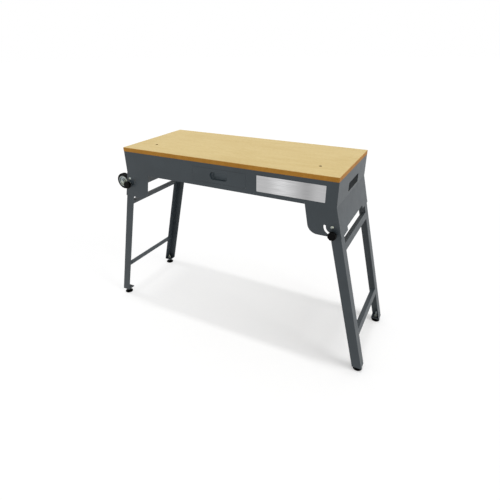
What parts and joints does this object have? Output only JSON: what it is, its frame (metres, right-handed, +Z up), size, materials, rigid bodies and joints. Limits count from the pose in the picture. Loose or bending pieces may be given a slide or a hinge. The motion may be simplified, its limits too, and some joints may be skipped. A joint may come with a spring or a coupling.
{
  "type": "folding workbench",
  "caption": "Steel folding workbench with a plywood top, splayed legs that fold under it, a shallow drawer, a hand cut-out and transport wheels.",
  "frame": {"origin": "centre of the bench's footprint, on the floor that its four feet stand on", "axes": "+X to the end with the hand cut-out, +Y to the back, away from the drawer, +Z up"},
  "size_m": [1.3594, 0.4736, 0.85],
  "materials": {
    "casing_paint": "satin dark slate-grey powder coat",
    "plywood": "clear-lacquered pale plywood face, warm brown edges",
    "zinc": "bright zinc plate",
    "black_plastic": "black moulded plastic",
    "tyre": "solid black rubber",
    "bare_plate": "brushed, bare"
  },
  "bodies": {
    "bench": {"worktop": "plywood", "worktop_screws": "zinc", "front_panel": "casing_paint", "back_panel": "casing_paint", "right_end_plate": "casing_paint", "left_end_plate": "casing_paint", "name_plate": "bare_plate", "pivot_bolts": "zinc", "pivot_nuts": "zinc", "front_wheel_bracket": "casing_paint", "back_wheel_bracket": "casing_paint", "wheel_bracket_bolts": "zinc", "wheel_bracket_nuts": "zinc", "wheel_axle_bolts": "zinc", "wheel_axle_nuts": "zinc", "right_drawer_runner": "zinc", "left_drawer_runner": "zinc"},
    "right_leg_frame": {"front_right_leg": "casing_paint", "back_right_leg": "casing_paint", "right_upper_crossbar": "casing_paint", "right_lower_crossbar": "casing_paint", "right_foot_tabs": "casing_paint", "right_foot_nuts": "zinc", "right_clamp_bolts": "zinc"},
    "front_right_clamp": {"front_right_knob": "black_plastic", "front_right_washer": "zinc"},
    "front_right_foot": {"front_right_foot_pad": "black_plastic", "front_right_foot_stem": "zinc"},
    "back_right_clamp": {"back_right_knob": "black_plastic", "back_right_washer": "zinc"},
    "back_right_foot": {"back_right_foot_pad": "black_plastic", "back_right_foot_stem": "zinc"},
    "left_leg_frame": {"front_left_leg": "casing_paint", "back_left_leg": "casing_paint", "left_upper_crossbar": "casing_paint", "left_lower_crossbar": "casing_paint", "left_foot_tabs": "casing_paint", "left_foot_nuts": "zinc", "left_clamp_bolts": "zinc"},
    "front_left_clamp": {"front_left_knob": "black_plastic", "front_left_washer": "zinc"},
    "front_left_foot": {"front_left_foot_pad": "black_plastic", "front_left_foot_stem": "zinc"},
    "back_left_clamp": {"back_left_knob": "black_plastic", "back_left_washer": "zinc"},
    "back_left_foot": {"back_left_foot_pad": "black_plastic", "back_left_foot_stem": "zinc"},
    "front_wheel": {"front_wheel_tyre": "tyre", "front_wheel_hub": "zinc", "front_wheel_bush": "black_plastic"},
    "back_wheel": {"back_wheel_tyre": "tyre", "back_wheel_hub": "zinc", "back_wheel_bush": "black_plastic"},
    "drawer": {"drawer_front": "casing_paint", "drawer_tray": "casing_paint", "drawer_slides": "zinc", "drawer_pull": "casing_paint"}
  },
  "joints": [
    {"name": "right_legs_fold", "type": "hinge", "parent": "bench", "child": "right_leg_frame", "pos_m": [0.49, 0, 0.657], "axis": [0, 1, 0], "range_deg": [0, 104.25]},
    {"name": "front_right_knob_turns", "type": "hinge", "parent": "right_leg_frame", "child": "front_right_clamp", "pos_m": [0.49714, -0.226, 0.62889], "axis": [0, -1, 0], "range_deg": [0, 450]},
    {"name": "front_right_foot_levels", "type": "slide", "parent": "right_leg_frame", "child": "front_right_foot", "axis": [0, 0, -1], "range_m": [-0.004, 0.01]},
    {"name": "back_right_knob_turns", "type": "hinge", "parent": "right_leg_frame", "child": "back_right_clamp", "pos_m": [0.49714, 0.226, 0.62889], "axis": [0, 1, 0], "range_deg": [0, 450]},
    {"name": "back_right_foot_levels", "type": "slide", "parent": "right_leg_frame", "child": "back_right_foot", "axis": [0, 0, -1], "range_m": [-0.004, 0.01]},
    {"name": "left_legs_fold", "type": "hinge", "parent": "bench", "child": "left_leg_frame", "pos_m": [-0.49, 0, 0.705], "axis": [0, -1, 0], "range_deg": [0, 104.25]},
    {"name": "front_left_knob_turns", "type": "hinge", "parent": "left_leg_frame", "child": "front_left_clamp", "pos_m": [-0.49714, -0.226, 0.67689], "axis": [0, -1, 0], "range_deg": [0, 450]},
    {"name": "front_left_foot_levels", "type": "slide", "parent": "left_leg_frame", "child": "front_left_foot", "axis": [0, 0, -1], "range_m": [-0.008, 0.01]},
    {"name": "back_left_knob_turns", "type": "hinge", "parent": "left_leg_frame", "child": "back_left_clamp", "pos_m": [-0.49714, 0.226, 0.67689], "axis": [0, 1, 0], "range_deg": [0, 450]},
    {"name": "back_left_foot_levels", "type": "slide", "parent": "left_leg_frame", "child": "back_left_foot", "axis": [0, 0, -1], "range_m": [-0.008, 0.01]},
    {"name": "front_wheel_rolls", "type": "hinge", "parent": "bench", "child": "front_wheel", "pos_m": [-0.56014, -0.178, 0.67389], "axis": [0, -1, 0], "continuous": true},
    {"name": "back_wheel_rolls", "type": "hinge", "parent": "bench", "child": "back_wheel", "pos_m": [-0.56014, 0.178, 0.67389], "axis": [0, -1, 0], "continuous": true},
    {"name": "drawer_slides_out", "type": "slide", "parent": "bench", "child": "drawer", "axis": [0, -1, 0], "range_m": [0, 0.25]}
  ]
}
